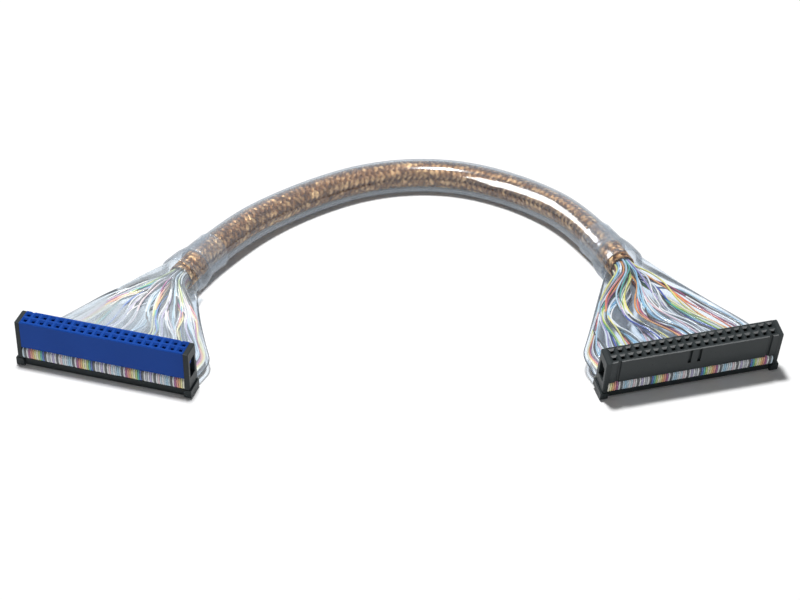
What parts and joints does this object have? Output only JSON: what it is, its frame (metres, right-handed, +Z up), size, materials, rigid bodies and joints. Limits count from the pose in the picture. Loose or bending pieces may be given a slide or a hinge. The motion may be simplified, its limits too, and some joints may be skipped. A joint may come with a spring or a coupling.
{
  "type": "round ide cable",
  "caption": "Round shielded ribbon-style drive cable: blue and black pin sockets, clear fan sleeves over coloured wires and a clear jacket over copper braid, laid in an arch.",
  "frame": {"origin": "on the surface the cable lies on, under the middle of the box around the two sockets, their fans and collars", "axes": "+X from the blue socket to the black one, +Y from the sockets towards the arch of the trunk, +Z up, the way the sockets open"},
  "size_m": [0.2236, 0.1163, 0.017],
  "materials": {
    "blue_moulding": "satin moulded polyester, blue",
    "black_moulding": "satin moulded polyester, black",
    "black_clamp": "satin moulded polyester, black",
    "contact_metal": "gold-flashed spring strip",
    "wire_insulation": "extruded insulation in repeating colours",
    "clear_film": "clear soft film sleeve",
    "clear_tube": "clear glossy soft tube",
    "braided_copper": "bare copper strands, woven"
  },
  "bodies": {
    "root": {"left_socket_body": "blue_moulding", "left_contacts_front_row": "contact_metal", "left_contacts_rear_row": "contact_metal", "left_ground_comb": "contact_metal", "left_cover": "black_clamp", "left_strain_relief": "black_clamp", "left_fan_wires": "wire_insulation", "left_fan_sleeve": "clear_film", "left_collar": "clear_tube", "right_socket_body": "black_moulding", "right_contacts_front_row": "contact_metal", "right_contacts_rear_row": "contact_metal", "right_ground_comb": "contact_metal", "right_cover": "black_clamp", "right_strain_relief": "black_clamp", "right_fan_wires": "wire_insulation", "right_fan_sleeve": "clear_film", "right_collar": "clear_tube", "trunk_jacket": "clear_tube", "copper_braid": "braided_copper", "wire_bundle": "wire_insulation"}
  },
  "joints": []
}
